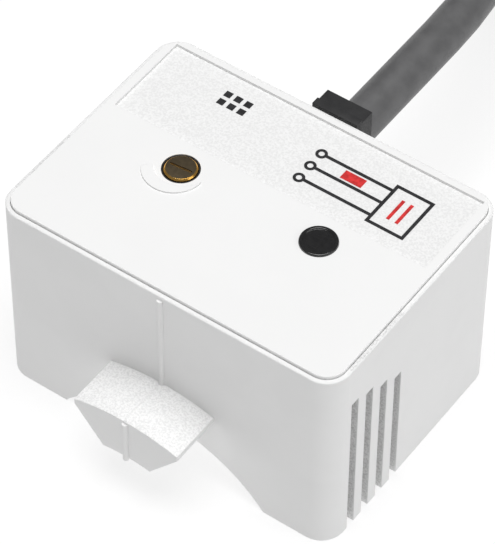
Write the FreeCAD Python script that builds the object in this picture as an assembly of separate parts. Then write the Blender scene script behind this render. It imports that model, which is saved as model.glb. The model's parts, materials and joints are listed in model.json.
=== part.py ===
"""Capacitive proximity sensor for strapping onto a pipe, with a flying lead.

Frame: millimetres, +Z up through the lid, +X along the long side, -Y the front.
Origin: on the plane of the two feet, in the middle of the housing.
"""
import FreeCAD, Part
import math
import os

# --- Driving dimensions -------------------------------------------------------
LENGTH = 36.0  # housing along X
DEPTH = 26.2  # housing along Y, without the noses
RIM_TOP = 21.8  # top of the housing's rim above the feet
LID_PROUD = 0.35  # how far the lid stands above the rim
CORNER_R = 2.4  # upright corners
CABLE_D = 4.1  # cable jacket
SADDLE_R = 14.0  # radius of the pipe saddle
SADDLE_Z = -8.65  # height of the saddle's axis

# --- Housing ------------------------------------------------------------------
END_WALL = 2.2  # thick end walls, which hold the side slots
SIDE_WALL = 1.5
SADDLE_SKIN = 1.4
FOOT_FLOOR = 1.6
RIM_BAND = 0.44
SEAT_DEPTH = 1.2
EDGE_ROUND = 0.12
POST_SIDE = 2.4  # corner posts that carry the circuit board

NOSE_REACH = 5.4
NOSE_HALF = 5.6
NOSE_TOP_R = 18.9
NOSE_LAND_LOW = 8.82
NOSE_FLOOR_HALF = 2.55
BEAD_R = 0.3
BEAD_TOP = RIM_TOP - 0.45
BEAD_SINK = 0.24  # the bead is almost flush along the nose's top
BEAD_NUB = 0.2

SLOT_COUNT = 4
SLOT_WIDTH = 1.05
SLOT_PITCH = 2.232
SLOT_FIRST_Y = -10.22
SLOT_DEPTH = 1.3
SLOT_TOPS = (17.25, 16.5, 15.3, 14.2)

# --- Lid ----------------------------------------------------------------------
LID_GAP = 0.04
LID_TOP = RIM_TOP + LID_PROUD
SEAT_Z = RIM_TOP - SEAT_DEPTH
LID_ROUND = 0.07
RECESS_HALF_X = 16.65
RECESS_Y = (2.6, 12.0)
RECESS_DEPTH = 0.28
TRIMMER_X = -7.19
WINDOW_X = 7.57
PORT_Y = -0.27  # of the trimmer and of the indicator window
PORT_R = 1.77
CRESCENT_HEIGHT = 0.15
CRESCENT_OUTER = (-0.465, -0.374)  # centres of its two arcs, from the trimmer's axis
CRESCENT_OUTER_R = 2.94
CRESCENT_INNER = (-0.118, 0.568)
CRESCENT_INNER_R = 2.77
CRESCENT_END = (-2.338, -1.09)  # a point on its square left end
CRESCENT_END_SLOPE = 46.6
INK = 0.04

# --- Circuit board ------------------------------------------------------------
BOARD_HALF = (15.2, 11.0)
BOARD_Z = (12.6, 13.8)
BOARD_TOP = BOARD_Z[1]

# --- Trimmer ------------------------------------------------------------------
TRIMMER_SIDE = 6.0
TRIMMER_TOP = BOARD_TOP + 4.3
TRIMMER_BORE_R = 1.62
TRACK_Z = BOARD_TOP + 1.0
TRACK_THICK = 0.15
HEAD_R = 1.53
HEAD_LOW = 20.2
HEAD_TOP = LID_TOP + 0.16
HEAD_CHAMFER = 0.14
SHANK_R = 1.1
WIPER_Z = TRACK_Z + 0.5
WIPER_THICK = 0.2
WIPER_R = 1.45
SEAL_CLEARANCE = 0.05
SLOT_SIZE = (2.27, 0.26, 0.7)  # the screwdriver slot, closed at both ends
SLOT_TURN = 5.3  # degrees from the long side
FINGER_Y = (-1.4, -1.0)
FINGER_HALF = 0.25
TRACK_R = (0.8, 1.55)
TRACK_GAP_HALF = 0.5
PIN_R = 0.25
SEAL_SINK = 0.03
SEAL_LIP = (0.35, 0.6)  # height and width under the lid

# --- Cable --------------------------------------------------------------------
CABLE_R = CABLE_D / 2
CABLE_Z = 17.6
BACK = DEPTH / 2
GLAND_HALF = 2.43
GLAND_STEP_Y = BACK + 0.87
GLAND_END_Y = BACK + 2.48
GLAND_OUTER_HALF_Z = RIM_TOP - CABLE_Z
GLAND_INNER_HALF_Z = LID_TOP - CABLE_Z
GLAND_NECK_HALF = (2.35, 2.6)
GLAND_FLANGE_HALF = (3.2, 2.9)
GLAND_FLANGE = 0.9
JACKET_END_Y = 8.8
ARC_SHARE = 0.45  # of its shorter run, which a corner's arc takes up

HANK_BEND_R = 4 * CABLE_D  # of the middle turns, at the hank's two ends
HANK_SIDE_X = CABLE_R - LENGTH / 2  # axis of the outer turn, whose jacket is level with the housing
HANK_NEAR_Y = 86.0  # the hank's sides are straight from here
HANK_FAR_Y = 126.0  # to here
HANK_X = HANK_SIDE_X + CABLE_D + HANK_BEND_R
LAYER_RISE = CABLE_D * math.sqrt(3) / 2
HANK_LAYERS = 4  # of three, two, three and two turns
HANK_HALF = 1.5 * CABLE_D  # half the width of three turns side by side
HANK_EASE = 0.35 * CABLE_R  # how far the outline is drawn in at the floor and on top
HANK_HEIGHT = CABLE_D + (HANK_LAYERS - 1) * LAYER_RISE
ROUTE = [
    (0.0, JACKET_END_Y, CABLE_Z),
    (0.0, 42.0, CABLE_Z),
    (HANK_SIDE_X, 68.0, CABLE_R),
    (HANK_SIDE_X, HANK_NEAR_Y, CABLE_R),
]

V = FreeCAD.Vector
UP = V(0, 0, 1)


# --- Shape helpers ------------------------------------------------------------
def block(x, y, z):
    """A box from three (low, high) pairs."""
    return Part.makeBox(x[1] - x[0], y[1] - y[0], z[1] - z[0], V(x[0], y[0], z[0]))


def centred_block(centre, size, low):
    """A box centred in plan, standing on the height low."""
    half_x, half_y = size[0] / 2, size[1] / 2
    x = (centre[0] - half_x, centre[0] + half_x)
    y = (centre[1] - half_y, centre[1] + half_y)
    return block(x, y, (low, low + size[2]))


def upright_edges(shape):
    """The straight edges that run along Z."""
    found = []
    for edge in shape.Edges:
        box = edge.BoundBox
        if box.XLength < 1e-6 and box.YLength < 1e-6:
            found.append(edge)
    return found


def edges_at_height(shape, z):
    """The edges that lie flat at the height z."""
    found = []
    for edge in shape.Edges:
        box = edge.BoundBox
        if abs(box.ZMin - z) < 1e-6 and abs(box.ZMax - z) < 1e-6:
            found.append(edge)
    return found


def edges_at_depth(shape, y):
    """The edges that lie in the upright plane at the depth y."""
    found = []
    for edge in shape.Edges:
        box = edge.BoundBox
        if abs(box.YMin - y) < 1e-6 and abs(box.YMax - y) < 1e-6:
            found.append(edge)
    return found


def rounded_block(half_x, half_y, z, radius):
    """A box about the Z axis with rounded upright corners."""
    body = block((-half_x, half_x), (-half_y, half_y), z)
    return body.makeFillet(radius, upright_edges(body))


def cylinder_z(x, y, z, radius):
    """An upright cylinder between two heights."""
    return Part.makeCylinder(radius, z[1] - z[0], V(x, y, z[0]), UP)


def cylinder_y(x, z, y, radius):
    """A cylinder along Y between two depths."""
    return Part.makeCylinder(radius, y[1] - y[0], V(x, y[0], z), V(0, 1, 0))


def tube_z(x, y, z, inner, outer):
    """An upright ring."""
    return cylinder_z(x, y, z, outer).cut(cylinder_z(x, y, z, inner))


def prism_y(edges, y):
    """A closed outline in an XZ plane, given at Y = 0, pushed from y[0] to y[1]."""
    face = Part.Face(Part.Wire(edges))
    face.translate(V(0, y[0], 0))
    return face.extrude(V(0, y[1] - y[0], 0))


def line(a, b):
    return Part.LineSegment(V(*a), V(*b)).toShape()


def arc(a, b, c):
    return Part.Arc(V(*a), V(*b), V(*c)).toShape()


def saddle_sheet(inner, outer, half_angle, half_y):
    """A curved sheet that follows the saddle between two radii."""
    ring = cylinder_y(0, SADDLE_Z, (-half_y, half_y), outer)
    ring = ring.cut(cylinder_y(0, SADDLE_Z, (-half_y, half_y), inner))
    reach = 2 * outer
    side = reach * math.tan(math.radians(half_angle))
    wedge = prism_y(
        [
            line((0, 0, SADDLE_Z), (side, 0, SADDLE_Z + reach)),
            line((side, 0, SADDLE_Z + reach), (-side, 0, SADDLE_Z + reach)),
            line((-side, 0, SADDLE_Z + reach), (0, 0, SADDLE_Z)),
        ],
        (-half_y, half_y),
    )
    return ring.common(wedge)


def bend_radius(before, corner, after):
    """The corner arc's tangent length and radius: as large as its two runs allow."""
    run_in, run_out = corner - before, after - corner
    tangent = ARC_SHARE * min(run_in.Length, run_out.Length)
    return tangent, tangent / math.tan(run_in.getAngle(run_out) / 2)


def smooth_path(points):
    """Straight runs joined by tangent arcs through the corners."""
    corners = [V(*point) for point in points]
    edges = []
    start = corners[0]
    for before, corner, after in zip(corners, corners[1:], corners[2:]):
        tangent, radius = bend_radius(before, corner, after)
        back = (before - corner).normalize()
        ahead = (after - corner).normalize()
        first, last = corner + back * tangent, corner + ahead * tangent
        inward = (back + ahead).normalize()
        middle = corner + inward * (math.hypot(tangent, radius) - radius)
        edges.append(Part.LineSegment(start, first).toShape())
        edges.append(Part.Arc(first, middle, last).toShape())
        start = last
    edges.append(Part.LineSegment(start, corners[-1]).toShape())
    return Part.Wire(edges)


def round_tube(points, radius):
    """A round rod along a smooth path."""
    path = smooth_path(points)
    direction = V(*points[1]) - V(*points[0])
    profile = Part.Wire(Part.makeCircle(radius, V(*points[0]), direction))
    return path.makePipeShell([profile], True, False)


def solids_of(shapes):
    """Several separate solids as one compound."""
    return Part.makeCompound([solid for shape in shapes for solid in shape.Solids])


# --- Housing and lid ----------------------------------------------------------
def nose():
    """The front nose, over which a cable tie is pulled to hold the pipe."""
    corner_z = SADDLE_Z + math.sqrt(NOSE_TOP_R**2 - NOSE_HALF**2)
    top_z = SADDLE_Z + NOSE_TOP_R
    floor_z = SADDLE_Z + math.sqrt(SADDLE_R**2 - NOSE_FLOOR_HALF**2)
    outline = [
        arc((-NOSE_HALF, 0, corner_z), (0, 0, top_z), (NOSE_HALF, 0, corner_z)),
        line((NOSE_HALF, 0, corner_z), (NOSE_HALF, 0, NOSE_LAND_LOW)),
        line((NOSE_HALF, 0, NOSE_LAND_LOW), (NOSE_FLOOR_HALF, 0, floor_z)),
        arc((NOSE_FLOOR_HALF, 0, floor_z), (0, 0, SADDLE_Z + SADDLE_R), (-NOSE_FLOOR_HALF, 0, floor_z)),
        line((-NOSE_FLOOR_HALF, 0, floor_z), (-NOSE_HALF, 0, NOSE_LAND_LOW)),
        line((-NOSE_HALF, 0, NOSE_LAND_LOW), (-NOSE_HALF, 0, corner_z)),
    ]
    face_y = -BACK - NOSE_REACH
    body = prism_y(outline, (face_y, -BACK + 1))
    body = body.makeFillet(EDGE_ROUND / 2, edges_at_depth(body, face_y))
    top_bead = cylinder_y(0, top_z - BEAD_SINK, (face_y + 0.1, -BACK + 1), BEAD_R)
    nub_low = SADDLE_Z + SADDLE_R - BEAD_NUB
    front_bead = cylinder_z(0, face_y, (nub_low, top_z - BEAD_SINK), BEAD_R)
    front_bead = front_bead.common(block((-1, 1), (face_y - 1, face_y + 0.2), (0, RIM_TOP)))
    return body.fuse([top_bead, front_bead])


def wall_bead():
    """The half-round bead down the middle of the front wall."""
    return cylinder_z(0, -BACK, (SADDLE_Z + NOSE_TOP_R - 1, BEAD_TOP), BEAD_R)


def side_slots():
    """Slots in the front half of both end walls, open at the bottom."""
    cuts = []
    for index in range(SLOT_COUNT):
        near = SLOT_FIRST_Y + index * SLOT_PITCH
        y = (near, near + SLOT_WIDTH)
        z = (-1, SLOT_TOPS[index])
        cuts.append(block((LENGTH / 2 - SLOT_DEPTH, LENGTH), y, z))
        cuts.append(block((-LENGTH, -LENGTH / 2 + SLOT_DEPTH), y, z))
    return cuts


def board_posts(inner_x, inner_y):
    """Four corner posts under the circuit board."""
    posts = []
    for sign_x in (-1, 1):
        for sign_y in (-1, 1):
            x = sorted((sign_x * (inner_x - POST_SIDE), sign_x * (inner_x + 0.5)))
            y = sorted((sign_y * (inner_y - POST_SIDE), sign_y * (inner_y + 0.5)))
            posts.append(block(x, y, (FOOT_FLOOR, BOARD_Z[0])))
    return posts


def cavity():
    """The room inside the housing, below the lid's seat and over the saddle."""
    inner_x, inner_y = LENGTH / 2 - END_WALL, DEPTH / 2 - SIDE_WALL
    room = block((-inner_x, inner_x), (-inner_y, inner_y), (FOOT_FLOOR, RIM_TOP))
    room = room.cut(cylinder_y(0, SADDLE_Z, (-DEPTH, DEPTH), SADDLE_R + SADDLE_SKIN))
    return room.cut(Part.makeCompound(board_posts(inner_x, inner_y)))


def gland_neck():
    """The gland's neck through the back wall, and the hole that it fills."""
    half_x, half_z = GLAND_NECK_HALF
    z = (CABLE_Z - half_z, CABLE_Z + half_z)
    return block((-half_x, half_x), (BACK - SIDE_WALL, BACK), z)


def housing_shell():
    body = rounded_block(LENGTH / 2, DEPTH / 2, (0, RIM_TOP), CORNER_R)
    body = body.makeFillet(EDGE_ROUND, edges_at_height(body, RIM_TOP))
    front = nose().fuse(wall_bead())
    rear = front.mirror(V(0, 0, 0), V(0, 1, 0))
    gland_low = CABLE_Z - GLAND_INNER_HALF_Z
    rear = rear.cut(block((-GLAND_HALF, GLAND_HALF), (0, DEPTH), (gland_low, LID_TOP)))
    body = body.fuse([front, rear])
    saddle_y = (-DEPTH, DEPTH)
    nubs = block((-BEAD_R, BEAD_R), saddle_y, (SADDLE_Z + SADDLE_R - BEAD_NUB, RIM_TOP))
    nubs = nubs.cut(block((-1, 1), (-BACK - NOSE_REACH + 0.01, BACK + NOSE_REACH - 0.01), (0, RIM_TOP)))
    body = body.cut(cylinder_y(0, SADDLE_Z, saddle_y, SADDLE_R).cut(nubs))
    seat_half = LENGTH / 2 - RIM_BAND, DEPTH / 2 - RIM_BAND
    seat = rounded_block(*seat_half, (SEAT_Z, RIM_TOP + 1), CORNER_R - RIM_BAND)
    return body.cut(side_slots() + [cavity(), seat, gland_neck()])


def crescent():
    """The raised wedge beside the trimmer: it thickens towards more sensitivity."""
    z = (LID_TOP - 0.1, LID_TOP + CRESCENT_HEIGHT)
    reach = CRESCENT_OUTER_R
    moon = cylinder_z(*CRESCENT_OUTER, z, CRESCENT_OUTER_R)
    moon = moon.cut(cylinder_z(*CRESCENT_INNER, z, CRESCENT_INNER_R))
    trim = block((-reach, reach), (0, reach), z)
    trim.rotate(V(0, 0, 0), UP, CRESCENT_END_SLOPE)
    trim.translate(V(*CRESCENT_END, 0))
    moon = moon.cut(trim)
    moon.translate(V(TRIMMER_X, PORT_Y, 0))
    return moon


def lid():
    half_x = LENGTH / 2 - RIM_BAND - LID_GAP
    half_y = DEPTH / 2 - RIM_BAND - LID_GAP
    plate = rounded_block(half_x, half_y, (SEAT_Z, LID_TOP), CORNER_R - RIM_BAND - LID_GAP)
    plate = plate.makeFillet(LID_ROUND, edges_at_height(plate, LID_TOP))
    recess_z = (LID_TOP - RECESS_DEPTH, LID_TOP + 1)
    recess = block((-RECESS_HALF_X, RECESS_HALF_X), RECESS_Y, recess_z)
    through = (SEAT_Z - 1, LID_TOP + 1)
    ports = [cylinder_z(x, PORT_Y, through, PORT_R) for x in (TRIMMER_X, WINDOW_X)]
    return plate.fuse(crescent()).cut([recess] + ports)


# --- Printed legend -----------------------------------------------------------
LEGEND_Y = 6.9  # middle line of the wiring diagram
LEGEND_STEP = 1.75  # between the three conductor lines
LEGEND_Z = LID_TOP - RECESS_DEPTH
STROKE = 0.32
SENSOR_BOX_X = (9.2, 13.2)
SENSOR_BOX_HALF = 2.6
TERMINAL_X = 1.7
TERMINAL_R = 0.56
LOAD_X = (4.6, 6.8)
LOAD_Y = (0.35, 1.4)  # above the middle line
PLATE_X = SENSOR_BOX_X[0] + 1.4
PLATE_STEP = 0.9
PLATE_HALF = 1.3
GRID_CORNER = (-9.6, 8.3)
GRID_STEP = 1.1
GRID_SQUARE = 0.7


def ink_bar(x, y):
    return block(x, y, (LEGEND_Z, LEGEND_Z + INK))


def ink_frame(x, y):
    """A hollow rectangle."""
    hole = ink_bar((x[0] + STROKE, x[1] - STROKE), (y[0] + STROKE, y[1] - STROKE))
    return ink_bar(x, y).cut(hole)


def conductor_line(y):
    """One line of the diagram, with a round terminal at its end."""
    bar_x = (TERMINAL_X + TERMINAL_R - 0.1, SENSOR_BOX_X[0] + STROKE / 2)
    bar = ink_bar(bar_x, (y - STROKE / 2, y + STROKE / 2))
    return bar.fuse(tube_z(TERMINAL_X, y, (LEGEND_Z, LEGEND_Z + INK), TERMINAL_R / 2, TERMINAL_R))


def square_grid():
    """Six small squares in two rows."""
    squares = []
    for column in range(3):
        for row in range(2):
            x = GRID_CORNER[0] + GRID_STEP * column
            y = GRID_CORNER[1] + GRID_STEP * row
            squares.append(ink_bar((x, x + GRID_SQUARE), (y, y + GRID_SQUARE)))
    return squares


def legend_black():
    """A plain connection diagram: sensor box, three lines and their terminals."""
    box = ink_frame(SENSOR_BOX_X, (LEGEND_Y - SENSOR_BOX_HALF, LEGEND_Y + SENSOR_BOX_HALF))
    lines = [conductor_line(LEGEND_Y + row * LEGEND_STEP) for row in (-1, 0, 1)]
    diagram = box.fuse(lines + square_grid())
    return solids_of([diagram.cut(legend_red())])


def legend_red():
    """The load in the connection diagram and the two plates in its sensor box."""
    load = ink_bar(LOAD_X, (LEGEND_Y + LOAD_Y[0], LEGEND_Y + LOAD_Y[1]))
    plates = []
    for start in (PLATE_X, PLATE_X + PLATE_STEP):
        plates.append(ink_bar((start, start + STROKE), (LEGEND_Y - PLATE_HALF, LEGEND_Y + PLATE_HALF)))
    return solids_of([load] + plates)


# --- Indicator ----------------------------------------------------------------
WINDOW_R = PORT_R - 0.02
WINDOW_TOP = LID_TOP + 0.22
WINDOW_CHAMFER = 0.1
WINDOW_RING = 0.28  # width of the raised ring
WINDOW_DISH = 0.08  # depth inside the ring
WINDOW_FLANGE = 0.4
GUIDE_FOOT = (3.6, 3.6, 2.0)
GUIDE_POCKET = (2.4, 2.4, 1.1)
GUIDE_ROD_R = 1.3
LED_PACKAGE = (2.0, 1.6, 0.5)
LED_DOME_R = 0.62
LED_DOME_RISE = 0.35  # of the dome's centre above the board
LED_DOME_LOW = BOARD_TOP + 0.1


def indicator_window():
    """The dark lens in the lid, with a raised ring and a flange underneath."""
    lens = cylinder_z(WINDOW_X, PORT_Y, (SEAT_Z, WINDOW_TOP), WINDOW_R)
    lens = lens.makeChamfer(WINDOW_CHAMFER, edges_at_height(lens, WINDOW_TOP))
    dish_z = (WINDOW_TOP - WINDOW_DISH, WINDOW_TOP + 1)
    dish = cylinder_z(WINDOW_X, PORT_Y, dish_z, WINDOW_R - WINDOW_RING)
    flange = cylinder_z(WINDOW_X, PORT_Y, (SEAT_Z - WINDOW_FLANGE, SEAT_Z), PORT_R + 0.5)
    return lens.cut(dish).fuse(flange)


def light_guide():
    """A clear rod on a square foot that covers the light."""
    foot = centred_block((WINDOW_X, PORT_Y), GUIDE_FOOT, BOARD_TOP)
    pocket = centred_block((WINDOW_X, PORT_Y), GUIDE_POCKET, BOARD_TOP)
    rod_z = (BOARD_TOP + GUIDE_FOOT[2], SEAT_Z - WINDOW_FLANGE - 0.05)
    rod = cylinder_z(WINDOW_X, PORT_Y, rod_z, GUIDE_ROD_R)
    return foot.cut(pocket).fuse(rod)


def status_led():
    package = centred_block((WINDOW_X, PORT_Y), LED_PACKAGE, BOARD_TOP)
    dome = Part.makeSphere(LED_DOME_R, V(WINDOW_X, PORT_Y, BOARD_TOP + LED_DOME_RISE))
    return package.fuse(dome.common(centred_block((WINDOW_X, PORT_Y), (2, 2, 1), LED_DOME_LOW)))


# --- Sensitivity trimmer ------------------------------------------------------
def trimmer_screw():
    """The brass rotor: slotted head in the lid and a shank down to the wiper."""
    head = cylinder_z(TRIMMER_X, PORT_Y, (HEAD_LOW, HEAD_TOP), HEAD_R)
    head = head.makeChamfer(HEAD_CHAMFER, edges_at_height(head, HEAD_TOP))
    slot = centred_block((TRIMMER_X, PORT_Y), SLOT_SIZE, HEAD_TOP - SLOT_SIZE[2])
    slot.rotate(V(TRIMMER_X, PORT_Y, 0), UP, SLOT_TURN)
    shank = cylinder_z(TRIMMER_X, PORT_Y, (WIPER_Z + WIPER_THICK, HEAD_LOW), SHANK_R)
    return head.cut(slot).fuse(shank)


def trimmer_wiper():
    """The spring contact under the rotor, with one finger on the track."""
    disc = cylinder_z(TRIMMER_X, PORT_Y, (WIPER_Z, WIPER_Z + WIPER_THICK), WIPER_R)
    finger_x = (TRIMMER_X - FINGER_HALF, TRIMMER_X + FINGER_HALF)
    finger_z = (TRACK_Z + TRACK_THICK + 0.03, WIPER_Z + WIPER_THICK / 2)
    finger_y = (PORT_Y + FINGER_Y[0], PORT_Y + FINGER_Y[1])
    return disc.fuse(block(finger_x, finger_y, finger_z))


def trimmer_track():
    """A resistive ring with a gap where its two ends are connected."""
    ring = tube_z(TRIMMER_X, PORT_Y, (TRACK_Z, TRACK_Z + TRACK_THICK), *TRACK_R)
    gap_x = (TRIMMER_X - TRACK_GAP_HALF, TRIMMER_X + TRACK_GAP_HALF)
    gap_y = (PORT_Y, PORT_Y + 2 * TRACK_R[1])
    gap = block(gap_x, gap_y, (TRACK_Z - 1, TRACK_Z + 1))
    return ring.cut(gap)


def trimmer_body():
    size = (TRIMMER_SIDE, TRIMMER_SIDE, TRIMMER_TOP - BOARD_TOP)
    case = centred_block((TRIMMER_X, PORT_Y), size, BOARD_TOP)
    case = case.makeFillet(0.3, upright_edges(case))
    return case.cut(cylinder_z(TRIMMER_X, PORT_Y, (TRACK_Z, TRIMMER_TOP + 1), TRIMMER_BORE_R))


TRIMMER_PINS = ((-2.5, -2.2), (2.5, -2.2), (0.0, 2.3))


def trimmer_pins():
    pins = []
    for x, y in TRIMMER_PINS:
        pins.append(cylinder_z(TRIMMER_X + x, PORT_Y + y, (BOARD_Z[0] - 0.05, BOARD_TOP), PIN_R))
    return solids_of(pins)


def trimmer_seal():
    """The black ring between the brass head and the lid."""
    bore_r = HEAD_R + SEAL_CLEARANCE
    lip_height, lip_width = SEAL_LIP
    ring = tube_z(TRIMMER_X, PORT_Y, (SEAT_Z, LID_TOP - SEAL_SINK), bore_r, PORT_R)
    lip = tube_z(TRIMMER_X, PORT_Y, (SEAT_Z - lip_height, SEAT_Z), bore_r, PORT_R + lip_width)
    return ring.fuse(lip)


# --- Circuit board and its parts ----------------------------------------------
CHIP_RAISE = 0.15  # a leaded package's body above the board
LEG_WIDTH = 0.4
LEG_THICK = 0.2
LEG_KNEE = 0.6  # height of the leg's level part above the board
DIODE = (2.8, 1.7, 1.2)
SMALL_CAPACITOR = (2.0, 1.25, 0.9)
LARGE_CAPACITOR = (3.5, 1.8, 1.6)
RESISTOR = (1.6, 0.8, 0.5)


def circuit_board():
    half_x, half_y = BOARD_HALF
    board = rounded_block(half_x, half_y, BOARD_Z, 0.8)
    holes = [cylinder_z(TRIMMER_X + x, PORT_Y + y, (0, RIM_TOP), PIN_R) for x, y in TRIMMER_PINS]
    return board.cut(holes)


def leaded_chip(x, y, size, per_side, pitch):
    """A small outline package with gull-wing legs along its two long sides."""
    pieces = [centred_block((x, y), size, BOARD_TOP + CHIP_RAISE)]
    half = size[1] / 2
    for index in range(per_side):
        leg_x = x + (index - (per_side - 1) / 2) * pitch
        for side in (-1, 1):
            # Level part, upright part and foot: distance out, length and height range.
            knee = ((leg_x, y + side * (half + 0.3)), (LEG_WIDTH, 0.7, LEG_THICK), LEG_KNEE)
            shin = ((leg_x, y + side * (half + 0.55)), (LEG_WIDTH, 0.2, LEG_KNEE + LEG_THICK), 0.0)
            toe = ((leg_x, y + side * (half + 0.8)), (LEG_WIDTH, 0.6, LEG_THICK), 0.0)
            for centre, leg_size, raised in (knee, shin, toe):
                pieces.append(centred_block(centre, leg_size, BOARD_TOP + raised))
    return pieces[0].fuse(pieces[1:])


def sensor_chip():
    return leaded_chip(0, -5.6, (4.9, 3.9, 1.5), 4, 1.27)


def voltage_regulator():
    return leaded_chip(11.6, -5.6, (4.5, 2.5, 1.4), 3, 1.5)


def output_transistor():
    return leaded_chip(11.6, 5.4, (2.9, 1.4, 1.0), 2, 1.9)


def end_capped(x, y, size):
    """A rectangular part with its ends toward +X and -X."""
    return centred_block((x, y), size, BOARD_TOP)


def protection_diodes():
    return solids_of([end_capped(-11.6, y, DIODE) for y in (4.2, 6.8)])


def board_capacitors():
    places = [(-12.2, -8.6), (-12.2, -6.6), (-12.2, -4.6), (6.2, -8.6), (6.2, -6.6), (6.2, 8.6)]
    chips = [end_capped(x, y, SMALL_CAPACITOR) for x, y in places]
    return solids_of(chips + [end_capped(11.6, -9.4, LARGE_CAPACITOR)])


def board_resistors():
    rows = [(-7.6 + 2.2 * column, y) for column in range(2) for y in (-8.9, -7.4, -5.9)]
    right = [(12.2, y) for y in (-1.6, 0.0, 1.6)]
    return solids_of([end_capped(x, y, RESISTOR) for x, y in rows + right])


# --- Sensing element ----------------------------------------------------------
SHEET_GAP = 0.05
SENSING_SPAN = (38, 8.5)  # half angle round the saddle and half length along it
FILM_SPAN = (41, 9.5)
GUARD_SPAN = (40, 9.2)
ELECTRODE_R = SADDLE_R + SADDLE_SKIN + SHEET_GAP
ELECTRODE_THICK = 0.2
FILM_R = ELECTRODE_R + ELECTRODE_THICK + SHEET_GAP
FILM_THICK = 0.25
GUARD_R = FILM_R + FILM_THICK + SHEET_GAP
GUARD_TOP_R = GUARD_R + ELECTRODE_THICK
ELECTRODE_LEAD_R = 0.3
SENSE_LEAD = (4.5, -3.0)
GUARD_LEAD = (-4.5, -3.0)
LEAD_HOLE_R = 1.2


def sensing_electrode():
    return saddle_sheet(ELECTRODE_R, ELECTRODE_R + ELECTRODE_THICK, *SENSING_SPAN)


def pierced(sheet):
    """A sheet with the hole that the sensing lead goes through."""
    return sheet.cut(cylinder_z(*SENSE_LEAD, (0, BOARD_Z[0]), LEAD_HOLE_R))


def electrode_film():
    return pierced(saddle_sheet(FILM_R, FILM_R + FILM_THICK, *FILM_SPAN))


def guard_electrode():
    return pierced(saddle_sheet(GUARD_R, GUARD_TOP_R, *GUARD_SPAN))


def electrode_leads():
    """Two straight leads from the electrodes up to the board's underside."""
    leads = []
    for (x, y), radius in ((SENSE_LEAD, ELECTRODE_R + ELECTRODE_THICK), (GUARD_LEAD, GUARD_TOP_R)):
        lead = cylinder_z(x, y, (0, BOARD_Z[0]), ELECTRODE_LEAD_R)
        leads.append(lead.cut(cylinder_y(0, SADDLE_Z, (-DEPTH, DEPTH), radius)))
    return solids_of(leads)


def potting_block():
    """Cast resin between the guard electrode and the board, around the leads."""
    gap = SHEET_GAP
    inner_x, inner_y = LENGTH / 2 - END_WALL - gap, DEPTH / 2 - SIDE_WALL - gap
    resin = block((-inner_x, inner_x), (-inner_y, inner_y), (FOOT_FLOOR + gap, BOARD_Z[0] - 0.1))
    resin = resin.cut(cylinder_y(0, SADDLE_Z, (-DEPTH, DEPTH), GUARD_TOP_R + gap))
    clear = POST_SIDE + gap
    posts = []
    for sign_x in (-1, 1):
        for sign_y in (-1, 1):
            x = sorted((sign_x * (inner_x + gap - clear), sign_x * LENGTH))
            y = sorted((sign_y * (inner_y + gap - clear), sign_y * DEPTH))
            posts.append(block(x, y, (0, RIM_TOP)))
    leads = []
    for place in (SENSE_LEAD, GUARD_LEAD):
        leads.append(cylinder_z(*place, (0, RIM_TOP), ELECTRODE_LEAD_R + gap))
    return resin.cut(posts + leads)


# --- Cable entry --------------------------------------------------------------
WIRE_R = 0.6
WIRE_STEP_X = 2.6  # between the three pads on the board
WIRE_PAD_Y = 4.6
WIRE_KNEE_Y = 7.2
CORE_OFFSET = (1.1, 0.5)  # the outer cores' places in the jacket
CLAMP_Y = (9.2, 10.5)
CLAMP_THICK = 0.7
CLAMP_LOCK_HALF = 1.2
CLAMP_LOCK_REACH = 1.9


def cable_bore(y):
    return cylinder_y(0, CABLE_Z, y, CABLE_R)


def cable_gland():
    """The black two-step block behind the wall, its neck and its inner flange."""
    wide = (-GLAND_HALF, GLAND_HALF)
    inner_z = (CABLE_Z - GLAND_INNER_HALF_Z, CABLE_Z + GLAND_INNER_HALF_Z)
    outer_z = (CABLE_Z - GLAND_OUTER_HALF_Z, CABLE_Z + GLAND_OUTER_HALF_Z)
    step = block(wide, (BACK, GLAND_STEP_Y), inner_z)
    end = block(wide, (GLAND_STEP_Y, GLAND_END_Y), outer_z)
    flange_x, flange_z = GLAND_FLANGE_HALF
    flange = block(
        (-flange_x, flange_x),
        (BACK - SIDE_WALL - GLAND_FLANGE, BACK - SIDE_WALL),
        (CABLE_Z - flange_z, CABLE_Z + flange_z),
    )
    body = step.fuse([end, gland_neck(), flange])
    return body.cut(cable_bore((0, 2 * BACK)))


def cable_clamp():
    """A tie pulled tight on the jacket inside the housing, so that it can't pull out."""
    strap = cylinder_y(0, CABLE_Z, CLAMP_Y, CABLE_R + CLAMP_THICK)
    lock_z = (CABLE_Z - CLAMP_LOCK_HALF, CABLE_Z + CLAMP_LOCK_HALF)
    lock = block((CABLE_R, CABLE_R + CLAMP_LOCK_REACH), CLAMP_Y, lock_z)
    return strap.fuse(lock).cut(cable_bore((0, BACK)))


def board_wire(index):
    """An insulated conductor from the jacket's end down to its pad on the board."""
    side = index - 1
    core_x = side * CORE_OFFSET[0]
    core_z = CABLE_Z + (CORE_OFFSET[1] if side == 0 else -CORE_OFFSET[1])
    points = [(core_x, JACKET_END_Y, core_z)]
    if side:
        points.append((core_x, WIRE_KNEE_Y, core_z))
    points.append((side * WIRE_STEP_X, WIRE_PAD_Y, core_z))
    points.append((side * WIRE_STEP_X, WIRE_PAD_Y, BOARD_TOP))
    return round_tube(points, WIRE_R)


# --- The free cable -----------------------------------------------------------
def cable_run():
    """The loose stretch, from inside the gland to the hank."""
    corners = [V(*point) for point in ROUTE]
    for before, corner, after in zip(corners, corners[1:], corners[2:]):
        print("cable bend radius", round(bend_radius(before, corner, after)[1], 1))
    tube = round_tube(ROUTE, CABLE_R)
    length = smooth_path(ROUTE).Length
    ratio = tube.Volume / (math.pi * CABLE_R**2 * length)
    print("cable run", round(length, 1), "mm, volume ratio", round(ratio, 4))
    return tube


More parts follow.
